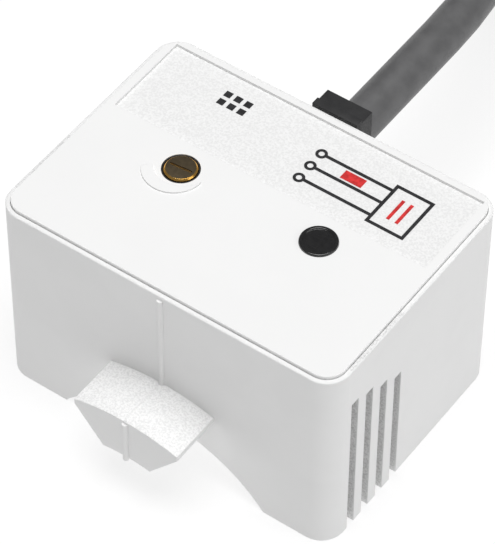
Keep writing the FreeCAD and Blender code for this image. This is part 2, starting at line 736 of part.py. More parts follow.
def hank_section():
    """One side of the hank's cross-section, as half widths and heights from the floor up."""
    top_half = HANK_HALF - CABLE_R
    return [
        (HANK_HALF - HANK_EASE, 0.0),
        (HANK_HALF, CABLE_R),
        (HANK_HALF, HANK_HEIGHT - CABLE_R - LAYER_RISE),
        (top_half, HANK_HEIGHT - CABLE_R),
        (top_half - HANK_EASE, HANK_HEIGHT),
    ]


def section_face(section, middle_x, y):
    """A whole cross-section of one of the hank's sides, standing at the depth y."""
    outline = section + [(-half, z) for half, z in reversed(section)]
    corners = [V(middle_x + half, y, z) for half, z in outline]
    return Part.Face(Part.makePolygon(corners + corners[:1]))


def cable_hank():
    """The outer shape of the wound cable: two straight sides and two half turns."""
    right_x, left_x = HANK_X + HANK_BEND_R, HANK_X - HANK_BEND_R
    along = V(0, HANK_FAR_Y - HANK_NEAR_Y, 0)
    right_side = section_face(hank_section(), right_x, HANK_NEAR_Y).extrude(along)
    left_side = section_face(hank_section(), left_x, HANK_NEAR_Y).extrude(along)
    far_turn = section_face(hank_section(), right_x, HANK_FAR_Y)
    far_turn = far_turn.revolve(V(HANK_X, HANK_FAR_Y, 0), UP, 180)
    near_turn = section_face(hank_section(), right_x, HANK_NEAR_Y)
    near_turn = near_turn.revolve(V(HANK_X, HANK_NEAR_Y, 0), UP, -180)
    return right_side.fuse([left_side, far_turn, near_turn]).removeSplitter()


def cable_tail():
    """The last stretch of jacket, on top of the hank's left side and round its far end."""
    z = HANK_HEIGHT + CABLE_R
    straight = cylinder_y(HANK_X - HANK_BEND_R, z, (HANK_NEAR_Y, HANK_FAR_Y), CABLE_R)
    rim = Part.makeCircle(CABLE_R, V(HANK_X + HANK_BEND_R, HANK_FAR_Y, z), V(0, 1, 0))
    turn = Part.Face(Part.Wire(rim)).revolve(V(HANK_X, HANK_FAR_Y, z), UP, 180)
    return straight.fuse(turn).removeSplitter()


# --- The hank's ties and the cable's far end ----------------------------------
TIE_WIDTH = 4.0
TIE_THICK = 0.8
LEFT_TIE_Y = 106.0
RIGHT_TIE_Y = 92.0
TAIL_TOUCH = (27.0, 62.0)  # degrees up the tail's side where the tie lies against it
LEAD_R = 0.6
LEAD_STEP = 1.3
LEAD_SPAN = (104.0, HANK_FAR_Y)
TIN_R = 0.4
TIN_SPAN = (99.0, 104.0)


def tail_and_hank_section():
    """The hank's section with the tail lying on it, as a tight tie sees it."""
    tail_z = HANK_HEIGHT + CABLE_R
    section = hank_section()[:3]
    for degrees in TAIL_TOUCH:
        angle = math.radians(degrees)
        section.append((CABLE_R * math.cos(angle), tail_z + CABLE_R * math.sin(angle)))
    return section


def tie_band(section, middle_x, middle_y):
    """A flat band drawn round one side of the hank, open where the hank lies on the floor."""
    outer = []
    for half, z in section:
        raised = TIE_THICK if z > HANK_HEIGHT / 2 else 0.0
        outer.append((half + TIE_THICK, z + raised))
    along = V(0, TIE_WIDTH, 0)
    near_y = middle_y - TIE_WIDTH / 2
    band = section_face(outer, middle_x, near_y).extrude(along)
    inside = section_face(section, middle_x, near_y).extrude(along)
    return band.cut(inside)


def hank_ties():
    left_band = tie_band(tail_and_hank_section(), HANK_X - HANK_BEND_R, LEFT_TIE_Y)
    right_band = tie_band(hank_section(), HANK_X + HANK_BEND_R, RIGHT_TIE_Y)
    return solids_of([left_band.cut([cable_hank(), cable_tail()]), right_band])


def far_lead(index, y_span, rod):
    """One of the three leads that lie side by side on the hank beyond the jacket."""
    x = HANK_X + HANK_BEND_R + (index - 1) * LEAD_STEP
    return cylinder_y(x, HANK_HEIGHT + LEAD_R, y_span, rod)


def tinned_tips():
    return solids_of([far_lead(index, TIN_SPAN, TIN_R) for index in range(3)])


# --- Write the parts ----------------------------------------------------------
WIRE_COLOURS = ("brown", "black", "blue")

PARTS = {
    "housing_shell": housing_shell,
    "lid": lid,
    "legend_black": legend_black,
    "legend_red": legend_red,
    "indicator_window": indicator_window,
    "light_guide": light_guide,
    "status_led": status_led,
    "trimmer_screw": trimmer_screw,
    "trimmer_wiper": trimmer_wiper,
    "trimmer_track": trimmer_track,
    "trimmer_body": trimmer_body,
    "trimmer_pins": trimmer_pins,
    "trimmer_seal": trimmer_seal,
    "circuit_board": circuit_board,
    "sensor_chip": sensor_chip,
    "voltage_regulator": voltage_regulator,
    "output_transistor": output_transistor,
    "protection_diodes": protection_diodes,
    "board_capacitors": board_capacitors,
    "board_resistors": board_resistors,
    "sensing_electrode": sensing_electrode,
    "electrode_film": electrode_film,
    "guard_electrode": guard_electrode,
    "electrode_leads": electrode_leads,
    "potting_block": potting_block,
    "cable_gland": cable_gland,
    "cable_clamp": cable_clamp,
    "cable_run": cable_run,
    "cable_hank": cable_hank,
    "hank_ties": hank_ties,
    "cable_tail": cable_tail,
    "tinned_tips": tinned_tips,
}
for number, colour in enumerate(WIRE_COLOURS):
    PARTS["board_wire_" + colour] = lambda number=number: board_wire(number)
    PARTS["lead_" + colour] = lambda number=number: far_lead(number, LEAD_SPAN, LEAD_R)

os.makedirs("parts", exist_ok=True)
for name, make in PARTS.items():
    shape = make()
    if not shape.isValid():
        print("invalid shape:", name)
    shape.exportStep("parts/" + name + ".step")
    print(name, len(shape.Solids), "solids,", round(shape.Volume, 2), "mm3")
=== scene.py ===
"""The looks of a capacitive proximity sensor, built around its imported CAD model.

Everything is in metres, in the CAD frame: +Z up through the lid, -Y the front, origin between the feet.
"""
import json
import math

import bmesh
import bpy
from mathutils import Matrix, Vector


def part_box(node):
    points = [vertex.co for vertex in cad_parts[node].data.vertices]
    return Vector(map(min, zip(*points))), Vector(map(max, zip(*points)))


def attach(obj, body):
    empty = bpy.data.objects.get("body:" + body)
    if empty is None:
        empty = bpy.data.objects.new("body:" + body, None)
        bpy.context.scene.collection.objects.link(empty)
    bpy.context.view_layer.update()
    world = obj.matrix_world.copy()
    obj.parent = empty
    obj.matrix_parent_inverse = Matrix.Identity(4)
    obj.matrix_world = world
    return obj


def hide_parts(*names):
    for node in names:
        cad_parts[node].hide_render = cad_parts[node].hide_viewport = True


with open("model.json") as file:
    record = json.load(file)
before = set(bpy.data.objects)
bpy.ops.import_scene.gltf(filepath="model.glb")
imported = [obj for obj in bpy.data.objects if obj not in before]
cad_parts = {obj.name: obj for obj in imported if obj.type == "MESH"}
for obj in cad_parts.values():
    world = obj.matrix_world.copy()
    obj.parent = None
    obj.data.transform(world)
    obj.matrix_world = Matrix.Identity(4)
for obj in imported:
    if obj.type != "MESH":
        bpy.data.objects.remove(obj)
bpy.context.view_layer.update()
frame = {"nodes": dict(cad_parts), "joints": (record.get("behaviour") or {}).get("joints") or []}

NODES = frame["nodes"]
MM = 0.001
UP = Vector((0, 0, 1))


# --- Places read from the frame -----------------------------------------------
def middle(node):
    """The centre of a node's box."""
    low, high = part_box(node)
    return (low + high) / 2


TRIMMER_AXIS = Vector(frame["joints"][0]["pos_m"])
WINDOW_AXIS = middle("indicator_window")
CRESCENT_HEIGHT = 0.15 * MM
LID_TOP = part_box("lid")[1].z - CRESCENT_HEIGHT
HEAD_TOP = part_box("trimmer_screw")[1].z
SEAT_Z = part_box("lid")[0].z
RECESS_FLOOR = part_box("legend_black")[0].z
HOUSING_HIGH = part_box("housing_shell")[1]
RIM_WIDTH = 0.48 * MM  # housing rim and the gap round the lid
BACK_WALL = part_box("lid")[1].y + RIM_WIDTH
GLAND_LOW, GLAND_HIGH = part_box("cable_gland")
CABLE_Z = middle("cable_gland").z


# --- Camera -------------------------------------------------------------------
CAMERA_PLACE = Vector((0.11404, -0.16150, 0.23884))
CAMERA_AZIMUTH = math.radians(35.258)
CAMERA_ELEVATION = math.radians(48.813)
CAMERA_ROLL = math.radians(0.386)
CAMERA_LENS = 222.56


def make_camera():
    """A long lens from the front right, looking down on the lid."""
    data = bpy.data.cameras.new("camera")
    data.lens = CAMERA_LENS
    data.sensor_width = 36.0
    data.clip_start = 0.01
    data.clip_end = 10.0
    camera = bpy.data.objects.new("camera", data)
    bpy.context.scene.collection.objects.link(camera)
    level = math.cos(CAMERA_ELEVATION)
    forward = Vector(
        (
            -math.sin(CAMERA_AZIMUTH) * level,
            math.cos(CAMERA_AZIMUTH) * level,
            -math.sin(CAMERA_ELEVATION),
        )
    )
    right = forward.cross(UP).normalized()
    right = Matrix.Rotation(-CAMERA_ROLL, 3, forward) @ right
    upward = right.cross(forward)
    turn = Matrix((right, upward, -forward)).transposed()
    camera.matrix_world = Matrix.Translation(CAMERA_PLACE) @ turn.to_4x4()
    bpy.context.scene.camera = camera


# --- Material tools -----------------------------------------------------------
class Recipe:
    """A material under construction: its nodes, and short ways to join them."""

    def __init__(self, name, **values):
        self.material = bpy.data.materials.new(name)
        self.material.use_nodes = True
        self.tree = self.material.node_tree
        self.shader = self.tree.nodes["Principled BSDF"]
        for key, value in values.items():
            self.shader.inputs[key.replace("_", " ")].default_value = value
        self.place = self.node("ShaderNodeTexCoord").outputs["Object"]

    def node(self, kind, **settings):
        made = self.tree.nodes.new(kind)
        for key, value in settings.items():
            setattr(made, key, value)
        return made

    def join(self, source, target):
        """Links an output to a socket, or sets the socket to a plain value."""
        if isinstance(source, bpy.types.NodeSocket):
            self.tree.links.new(source, target)
        else:
            target.default_value = source

    def noise(self, size, detail=3.0, roughness=0.5, place=None, distortion=0.0):
        """Soft noise whose features are about size across, in metres."""
        made = self.node("ShaderNodeTexNoise")
        self.join(place or self.place, made.inputs["Vector"])
        made.inputs["Scale"].default_value = 1.0 / size
        made.inputs["Detail"].default_value = detail
        made.inputs["Roughness"].default_value = roughness
        made.inputs["Distortion"].default_value = distortion
        return made.outputs["Fac"]

    def cells(self, size, place=None):
        """Distance to the nearest point of a scattered cell pattern."""
        made = self.node("ShaderNodeTexVoronoi")
        self.join(place or self.place, made.inputs["Vector"])
        made.inputs["Scale"].default_value = 1.0 / size
        return made.outputs["Distance"]

    def math(self, operation, first, second=0.0, clamp=False):
        made = self.node("ShaderNodeMath", operation=operation, use_clamp=clamp)
        self.join(first, made.inputs[0])
        self.join(second, made.inputs[1])
        return made.outputs[0]

    def span(self, source, low, high, to_low=0.0, to_high=1.0):
        """Takes low..high to to_low..to_high, smoothly, and no further."""
        made = self.node("ShaderNodeMapRange", interpolation_type="SMOOTHSTEP")
        self.join(source, made.inputs["Value"])
        for key, value in zip(("From Min", "From Max", "To Min", "To Max"), (low, high, to_low, to_high)):
            made.inputs[key].default_value = value
        return made.outputs["Result"]

    def mix(self, share, first, second):
        """Two colours mixed by a share from 0 to 1."""
        made = self.node("ShaderNodeMix", data_type="RGBA")
        self.join(share, made.inputs["Factor"])
        self.join(first, made.inputs["A"])
        self.join(second, made.inputs["B"])
        return made.outputs["Result"]

    def axes(self, place=None):
        """The X, Y and Z of a place."""
        made = self.node("ShaderNodeSeparateXYZ")
        self.join(place or self.place, made.inputs[0])
        return made.outputs

    def moved(self, offset=(0, 0, 0), scale=(1, 1, 1), turn=(0, 0, 0)):
        """The object's coordinates, moved, turned and stretched."""
        made = self.node("ShaderNodeMapping")
        self.join(self.place, made.inputs["Vector"])
        made.inputs["Location"].default_value = offset
        made.inputs["Rotation"].default_value = turn
        made.inputs["Scale"].default_value = scale
        return made.outputs[0]

    def bump(self, height, depth, strength=1.0, over=None):
        """A surface relief of that depth in metres, laid over another normal."""
        made = self.node("ShaderNodeBump")
        self.join(height, made.inputs["Height"])
        made.inputs["Distance"].default_value = depth
        self.join(strength, made.inputs["Strength"])
        if over is not None:
            self.join(over, made.inputs["Normal"])
        return made.outputs["Normal"]

    def soft_edges(self, radius):
        """A normal that rounds the sharp edges, as a mould does."""
        made = self.node("ShaderNodeBevel", samples=6)
        made.inputs["Radius"].default_value = radius
        return made.outputs["Normal"]

    def finish(self, colour, roughness, normal=None):
        self.join(colour, self.shader.inputs["Base Color"])
        self.join(roughness, self.shader.inputs["Roughness"])
        if normal is not None:
            self.join(normal, self.shader.inputs["Normal"])
        return self.material


def grey(level):
    return (level, level, level, 1.0)


def tint(colour, factor):
    """A colour made lighter or darker."""
    return tuple(min(1.0, part * factor) for part in colour[:3]) + (1.0,)


# --- Materials of the white mouldings -----------------------------------------
HOUSING_COLOUR = (0.86, 0.86, 0.858)
LID_COLOUR = (0.9, 0.9, 0.898)


# The slots run from the first one's near wall to the last one's far wall.
SLOTS_Y = (-10.27 * MM, -2.42 * MM)
SLOT_FLOOR = HOUSING_HIGH.x - 1.3 * MM


def along_slots(r, y):
    """1 between the first and the last side slot, 0 elsewhere."""
    margin = 0.05 * MM
    past_first = r.span(y, SLOTS_Y[0] - margin, SLOTS_Y[0])
    before_last = r.span(y, SLOTS_Y[1], SLOTS_Y[1] + margin, 1.0, 0.0)
    return r.math("MULTIPLY", past_first, before_last)


def housing_white():
    """Moulded PBT: smooth walls, and spark-erosion grain on top of the noses and in the slots; in the slots
    the grain is also painted darker, as painted shade in the recesses.
    """
    r = Recipe("housing_white", Specular_IOR_Level=0.35)
    along = r.axes()
    depth = r.math("ABSOLUTE", along["Y"])
    width = r.math("ABSOLUTE", along["X"])
    facing_up = r.axes(r.node("ShaderNodeNewGeometry").outputs["Normal"])["Z"]
    on_nose = r.span(depth, BACK_WALL - 0.05 * MM, BACK_WALL + 0.25 * MM)
    on_nose = r.math("MULTIPLY", on_nose, r.span(facing_up, 0.4, 0.7))
    in_slot = r.math("MULTIPLY", along_slots(r, along["Y"]), r.span(width, SLOT_FLOOR - 0.2 * MM, SLOT_FLOOR))
    in_slot = r.math("MULTIPLY", in_slot, r.span(width, HOUSING_HIGH.x - 0.2 * MM, HOUSING_HIGH.x, 1.0, 0.0))
    coarse = r.math("MAXIMUM", on_nose, in_slot)
    fine_grain = r.noise(0.14 * MM, detail=2.0)
    speckle = r.noise(0.19 * MM, detail=3.0, roughness=0.7)
    flow = r.noise(5.0 * MM, detail=2.0, distortion=0.4)
    plain = r.mix(r.span(flow, 0.35, 0.65), tint(HOUSING_COLOUR, 0.985), tint(HOUSING_COLOUR, 1.0))
    freckled = r.mix(r.span(speckle, 0.38, 0.6), tint(HOUSING_COLOUR, 0.89), tint(HOUSING_COLOUR, 1.06))
    # Painted shade: the slot walls' grain is painted much darker than the walls outside, standing for the
    # shade inside the slots.
    slot_grain_painted_shade = r.mix(r.span(speckle, 0.38, 0.6), tint(HOUSING_COLOUR, 0.72), tint(HOUSING_COLOUR, 0.98))
    colour = r.mix(in_slot, r.mix(on_nose, plain, freckled), slot_grain_painted_shade)
    roughness = r.span(r.math("ADD", fine_grain, r.math("MULTIPLY", coarse, 0.5)), 0.3, 1.1, 0.42, 0.62)
    edges = r.soft_edges(0.07 * MM)
    smooth = r.bump(fine_grain, 0.004 * MM, 0.5, edges)
    strength = r.span(coarse, 0.0, 1.0, 0.0, 1.0)
    return r.finish(colour, roughness, r.bump(speckle, 0.035 * MM, strength, smooth))


def lid_white():
    """The lid: smooth and pale, with a finely grained floor in the label recess, painted a little darker as
    painted shade in the recess.
    """
    r = Recipe("lid_white", Specular_IOR_Level=0.35)
    height = r.axes()["Z"]
    sunk = r.span(height, RECESS_FLOOR + 0.02 * MM, RECESS_FLOOR + 0.2 * MM, 1.0, 0.0)
    grain = r.noise(0.2 * MM, detail=3.0, roughness=0.6)
    fine = r.noise(0.1 * MM, detail=2.0)
    cloud = r.noise(6.0 * MM, detail=2.0)
    smooth_colour = r.mix(r.span(cloud, 0.35, 0.65), tint(LID_COLOUR, 0.99), tint(LID_COLOUR, 1.0))
    # Painted shade: the recess floor's grain is painted darker than the lid top, standing for the shade in
    # the label recess.
    recess_grain_painted_shade = r.mix(r.span(grain, 0.38, 0.62), tint(LID_COLOUR, 0.89), tint(LID_COLOUR, 0.995))
    colour = r.mix(sunk, smooth_colour, recess_grain_painted_shade)
    roughness = r.span(r.math("ADD", fine, sunk), 0.3, 1.6, 0.38, 0.66)
    edges = r.soft_edges(0.05 * MM)
    smooth = r.bump(fine, 0.003 * MM, 0.4, edges)
    return r.finish(colour, roughness, r.bump(grain, 0.02 * MM, sunk, smooth))


def ink(name, colour):
    """Pad-printed ink: a little uneven, with fine pores."""
    r = Recipe(name, Specular_IOR_Level=0.3)
    body = r.noise(0.5 * MM, detail=3.0)
    pores = r.span(r.cells(0.09 * MM), 0.05, 0.3)
    tone = r.mix(r.span(body, 0.3, 0.7), tint(colour, 0.8), tint(colour, 1.25))
    shown = r.mix(pores, tint(colour, 1.7), tone)
    return r.finish(shown, r.span(body, 0.3, 0.7, 0.42, 0.6), r.bump(pores, 0.003 * MM, 0.4))


# --- Materials of the black pieces --------------------------------------------
def gland_black():
    """Black elastomer with a moulded matte skin."""
    r = Recipe("gland_black", Specular_IOR_Level=0.42)
    skin = r.noise(0.12 * MM, detail=3.0, roughness=0.6)
    dust = r.noise(1.4 * MM, detail=4.0)
    colour = r.mix(r.span(dust, 0.35, 0.7), (0.019, 0.019, 0.02, 1.0), (0.027, 0.027, 0.028, 1.0))
    normal = r.bump(skin, 0.008 * MM, 0.6, r.soft_edges(0.06 * MM))
    return r.finish(colour, r.span(skin, 0.3, 0.7, 0.5, 0.68), normal)


def jacket_black():
    """Extruded PVC with a satin, slightly mottled skin."""
    r = Recipe("jacket_black", Specular_IOR_Level=0.5)
    skin = r.noise(0.16 * MM, detail=3.0, roughness=0.55)
    mottle = r.noise(1.8 * MM, detail=3.0)
    colour = r.mix(r.span(mottle, 0.3, 0.7), (0.1, 0.1, 0.102, 1.0), (0.125, 0.125, 0.127, 1.0))
    return r.finish(colour, r.span(skin, 0.3, 0.7, 0.4, 0.52), r.bump(skin, 0.006 * MM, 0.5))


def seal_black():
    """Soft black rubber."""
    r = Recipe("seal_black", Specular_IOR_Level=0.4)
    skin = r.noise(0.08 * MM, detail=2.0)
    colour = r.mix(r.span(skin, 0.3, 0.7), grey(0.008), grey(0.014))
    return r.finish(colour, r.span(skin, 0.3, 0.7, 0.42, 0.6), r.bump(skin, 0.004 * MM, 0.6))


def window_black():
    """Dark tinted acrylic with a polished face and a few hair marks."""
    r = Recipe("window_black", Coat_Weight=0.3, Coat_Roughness=0.08, Specular_IOR_Level=0.5)
    haze = r.noise(0.6 * MM, detail=3.0)
    drawn_out = r.moved(scale=(1.0, 9.0, 1.0), turn=(0, 0, 0.6))
    hairs = r.noise(0.9 * MM, detail=5.0, roughness=0.7, place=drawn_out)
    colour = r.mix(r.span(haze, 0.3, 0.7), (0.009, 0.009, 0.0095, 1.0), (0.014, 0.014, 0.0145, 1.0))
    return r.finish(colour, r.span(hairs, 0.35, 0.75, 0.16, 0.3), r.bump(hairs, 0.002 * MM, 0.25))


# --- Metals -------------------------------------------------------------------
def brass():
    """Turned brass: tarnished on the flat face, a painted highlight on the chamfer, with fine turning rings.
    """
    r = Recipe("brass", Metallic=1.0)
    centred = r.moved(offset=(-TRIMMER_AXIS.x, -TRIMMER_AXIS.y, 0))
    along = r.axes(centred)
    radius = r.math("SQRT", r.math("ADD", r.math("POWER", along["X"], 2.0), r.math("POWER", along["Y"], 2.0)))
    stain = r.noise(0.5 * MM, detail=4.0, roughness=0.6)
    face = r.span(radius, 1.37 * MM, 1.39 * MM, 1.0, 0.0)
    sunk = r.span(along["Z"], HEAD_TOP - 0.2 * MM, HEAD_TOP - 0.03 * MM, 1.0, 0.0)
    tarnish = r.mix(r.span(stain, 0.3, 0.7), (0.1, 0.078, 0.049, 1.0), (0.128, 0.1, 0.063, 1.0))
    # Painted highlight: the chamfer ring is painted a light gold, standing for its reflection.
    chamfer_painted_highlight = r.mix(r.span(stain, 0.3, 0.7), (0.93, 0.5, 0.1, 1.0), (1.0, 0.6, 0.16, 1.0))
    ring_wave = r.math("SINE", r.math("MULTIPLY", radius, 2 * math.pi / (0.07 * MM)))
    rings = r.span(r.math("ADD", ring_wave, r.math("MULTIPLY", stain, 1.2)), -1.0, 1.8)
    roughness = r.span(r.math("ADD", face, r.math("MULTIPLY", rings, 0.2)), 0.0, 1.2, 0.2, 0.5)
    dull = r.mix(sunk, tarnish, (0.62, 0.5, 0.3, 1.0))
    return r.finish(r.mix(face, chamfer_painted_highlight, dull), roughness, r.bump(rings, 0.002 * MM, 0.5))


def plain_metal(name, colour, roughness, streak_size):
    """Sheet or plated metal with a fine streaky finish."""
    r = Recipe(name, Metallic=1.0)
    streaks = r.noise(streak_size, detail=4.0, roughness=0.65, place=r.moved(scale=(1.0, 6.0, 6.0)))
    shown = r.mix(r.span(streaks, 0.3, 0.7), tint(colour, 0.8), tint(colour, 1.1))
    gloss = r.span(streaks, 0.3, 0.7, roughness, roughness + 0.15)
    return r.finish(shown, gloss, r.bump(streaks, 0.003 * MM, 0.4))


# --- Other plastics and the electronics ---------------------------------------
def mottled(name, colour, roughness, size, depth, spread=0.12, **values):
    """A moulded or cast material: its colour, gloss and height vary together at one grain size."""
    r = Recipe(name, **values)
    grain = r.noise(size, detail=3.0, roughness=0.6)
    cloud = r.noise(12 * size, detail=2.0)
    tone = r.mix(r.span(grain, 0.3, 0.7), tint(colour, 1 - spread), tint(colour, 1 + spread))
    shown = r.mix(r.span(cloud, 0.3, 0.7, 0.0, 0.5), tone, tint(colour, 1 - spread / 2))
    return r.finish(shown, r.span(grain, 0.3, 0.7, roughness, roughness + 0.12), r.bump(grain, depth, 0.6))


def board_green():
    """Solder mask over a faint glass weave, with darker copper areas under it."""
    r = Recipe("board_green", Coat_Weight=0.3, Coat_Roughness=0.2)
    along = r.axes()
    pitch = 2 * math.pi / (0.45 * MM)
    warp = r.math("SINE", r.math("MULTIPLY", along["X"], pitch))
    weft = r.math("SINE", r.math("MULTIPLY", along["Y"], pitch))
    weave = r.span(r.math("MULTIPLY", warp, weft), -1.0, 1.0)
    pour = r.span(r.noise(3.0 * MM, detail=1.0), 0.47, 0.5)
    mask = r.mix(pour, (0.012, 0.13, 0.045, 1.0), (0.02, 0.2, 0.07, 1.0))
    shown = r.mix(r.math("MULTIPLY", weave, 0.25), mask, (0.03, 0.26, 0.1, 1.0))
    relief = r.bump(r.math("ADD", weave, pour), 0.008 * MM, 0.5)
    return r.finish(shown, r.span(weave, 0.0, 1.0, 0.32, 0.42), relief)


def chip_resistor():
    """Black glaze with a fine grain."""
    r = Recipe("resistor_black")
    grain = r.noise(0.1 * MM, detail=3.0)
    colour = r.mix(r.span(grain, 0.3, 0.7), (0.012, 0.012, 0.013, 1.0), (0.03, 0.03, 0.03, 1.0))
    return r.finish(colour, r.span(grain, 0.3, 0.7, 0.3, 0.45), r.bump(grain, 0.004 * MM, 0.5))


SLOT_MATERIALS = {
    "housing_white": housing_white,
    "lid_white": lid_white,
    "ink_black": lambda: ink("ink_black", (0.022, 0.022, 0.024, 1.0)),
    "ink_red": lambda: ink("ink_red", (0.62, 0.03, 0.03, 1.0)),
    "window_black": window_black,
    "clear_plastic": lambda: mottled(
        "clear_plastic", (0.8, 0.84, 0.86), 0.08, 0.4 * MM, 0.002 * MM, 0.05, Transmission_Weight=0.8
    ),
    "led_white": lambda: mottled("led_white", (0.82, 0.8, 0.68), 0.3, 0.1 * MM, 0.003 * MM),
    "brass": brass,
    "spring_metal": lambda: plain_metal("spring_metal", (0.7, 0.66, 0.56), 0.25, 0.3 * MM),
    "track_ceramic": lambda: mottled("track_ceramic", (0.05, 0.045, 0.04), 0.5, 0.06 * MM, 0.004 * MM, 0.3),
    "trimmer_blue": lambda: mottled("trimmer_blue", (0.03, 0.12, 0.42), 0.4, 0.12 * MM, 0.005 * MM),
    "seal_black": seal_black,
    "board_green": board_green,
    "chip_black": lambda: mottled("chip_black", (0.02, 0.02, 0.021), 0.5, 0.08 * MM, 0.006 * MM, 0.3),
    "capacitor_tan": lambda: mottled("capacitor_tan", (0.42, 0.28, 0.16), 0.38, 0.09 * MM, 0.004 * MM),
    "resistor_black": chip_resistor,
    "copper": lambda: plain_metal("copper", (0.8, 0.38, 0.22), 0.28, 0.4 * MM),
    "film_amber": lambda: mottled("film_amber", (0.6, 0.24, 0.03), 0.25, 0.3 * MM, 0.002 * MM),
    "tinned_wire": lambda: plain_metal("tinned_wire", (0.66, 0.66, 0.68), 0.28, 0.25 * MM),
    "resin": lambda: mottled("resin", (0.05, 0.05, 0.055), 0.25, 0.6 * MM, 0.01 * MM, 0.2, Coat_Weight=0.4),
    "gland_black": gland_black,
    "tie_white": lambda: mottled("tie_white", (0.74, 0.73, 0.7), 0.36, 0.2 * MM, 0.004 * MM, 0.05),
    "jacket_black": jacket_black,
    "core_brown": lambda: mottled("core_brown", (0.17, 0.06, 0.025), 0.36, 0.12 * MM, 0.004 * MM),
    "core_black": lambda: mottled("core_black", (0.018, 0.018, 0.019), 0.36, 0.12 * MM, 0.004 * MM, 0.25),
    "core_blue": lambda: mottled("core_blue", (0.02, 0.09, 0.4), 0.36, 0.12 * MM, 0.004 * MM),
}


def make_materials():
    return {slot: build() for slot, build in SLOT_MATERIALS.items()}


def dress_nodes(materials):
    """Gives each CAD node the detailed material of its own slot."""
    for node in NODES.values():
        for index, material in enumerate(node.data.materials):
            slot = material.name.split(".")[0]
            node.data.materials[index] = materials[slot]


# --- Mesh tools ---------------------------------------------------------------
def new_piece(name, bm, material, slot, body, *replaced):
    """A mesh piece that rides on a body and stands for some CAD nodes."""
    bmesh.ops.recalc_face_normals(bm, faces=bm.faces)
    mesh = bpy.data.meshes.new(name)
    bm.to_mesh(mesh)
    bm.free()
    mesh.materials.append(material)
    piece = bpy.data.objects.new(name, mesh)
    bpy.context.scene.collection.objects.link(piece)
    return settle(piece, slot, body, *replaced)


def settle(piece, slot, body, *replaced):
    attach(piece, body)
    if replaced:
        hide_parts(*replaced)
    return piece


def smooth_by_angle(piece, degrees=35):
    """Smooth shading, with the edges sharper than an angle kept crisp."""
    mesh = piece.data
    for face in mesh.polygons:
        face.use_smooth = True
    mesh.set_sharp_from_angle(angle=math.radians(degrees))


def corner_arc(before, corner, after, radius, count=5):
    """The points of a rounded corner between two straight runs of an outline."""
    before, corner, after = Vector(before), Vector(corner), Vector(after)
    back, ahead = (before - corner).normalized(), (after - corner).normalized()
    half = back.angle(ahead) / 2
    reach = radius / math.tan(half)
    centre = corner + (back + ahead).normalized() * (radius / math.sin(half))
    first, last = corner + back * reach - centre, corner + ahead * reach - centre
    places = []
    for step in range(count):
        direction = first.slerp(last, step / (count - 1)).normalized()
        places.append(tuple(centre + direction * radius))
    return places


def rounded_outline(points):
    """An open outline of (across, up, corner radius), with its inner corners rounded."""
    outline = [points[0][:2]]
    for before, corner, after in zip(points, points[1:], points[2:]):
        if corner[2]:
            outline += corner_arc(before[:2], corner[:2], after[:2], corner[2])
        else:
            outline.append(corner[:2])
    return outline + [points[-1][:2]]


def turned(outline, centre, segments=128):
    """An outline of (radius, height) turned about an upright axis."""
    bm = bmesh.new()
    rings = []
    for radius, height in outline:
        if radius < 1e-7:
            rings.append([bm.verts.new((centre.x, centre.y, height))])
            continue
        ring = []
        for step in range(segments):
            angle = 2 * math.pi * step / segments
            place = (centre.x + radius * math.cos(angle), centre.y + radius * math.sin(angle), height)
            ring.append(bm.verts.new(place))
        rings.append(ring)
    for low, high in zip(rings, rings[1:]):
        for step in range(segments):
            after = (step + 1) % segments
            # A ring on the axis is a single point, so its corners come out the same.
            lower = [low[step % len(low)], low[after % len(low)]]
            upper = [high[after % len(high)], high[step % len(high)]]
            distinct = list(dict.fromkeys(lower + upper))
            if len(distinct) > 2:
                bm.faces.new(distinct)
    return bm


def carve(piece, cutter):
    """Cuts one mesh out of another and removes the cutter."""
    step = piece.modifiers.new("carve", "BOOLEAN")
    step.operation = "DIFFERENCE"
    step.solver = "EXACT"
    step.use_self = True
    step.object = cutter
    bpy.context.view_layer.update()
    graph = bpy.context.evaluated_depsgraph_get()
    cut = bpy.data.meshes.new_from_object(piece.evaluated_get(graph))
    piece.modifiers.clear()
    piece.data = cut
    bpy.data.objects.remove(cutter)


def tool(name, bm):
    """A mesh used only to cut others."""
    bmesh.ops.recalc_face_normals(bm, faces=bm.faces)
    mesh = bpy.data.meshes.new(name)
    bm.to_mesh(mesh)
    bm.free()
    made = bpy.data.objects.new(name, mesh)
    bpy.context.scene.collection.objects.link(made)
    return made


def swept(stations):
    """A skin over a row of equal closed sections, with its two ends filled."""
    bm = bmesh.new()
    rings = [[bm.verts.new(place) for place in section] for section in stations]
    for low, high in zip(rings, rings[1:]):
        count = len(low)
        for step in range(count):
            after = (step + 1) % count
            bm.faces.new((low[step], low[after], high[after], high[step]))
    bm.faces.new(rings[0])
    bm.faces.new(list(reversed(rings[-1])))
    return bm


def add_box(bm, low, high, rounding, segments=3):
    """A box with every edge rounded, added to a mesh."""
    made = bmesh.ops.create_cube(bm, size=1.0)
    corners = made["verts"]
    size = Vector(high) - Vector(low)
    centre = (Vector(high) + Vector(low)) / 2
    for corner in corners:
        corner.co = Vector(part * stretch for part, stretch in zip(corner.co, size)) + centre
    edges = list({edge for corner in corners for edge in corner.link_edges})
    bmesh.ops.bevel(bm, geom=edges, offset=rounding, segments=segments, profile=0.5, affect="EDGES")


# --- Indicator window ---------------------------------------------------------
WINDOW_R = 1.75 * MM
WINDOW_RIM = 0.3 * MM  # width of the raised ring


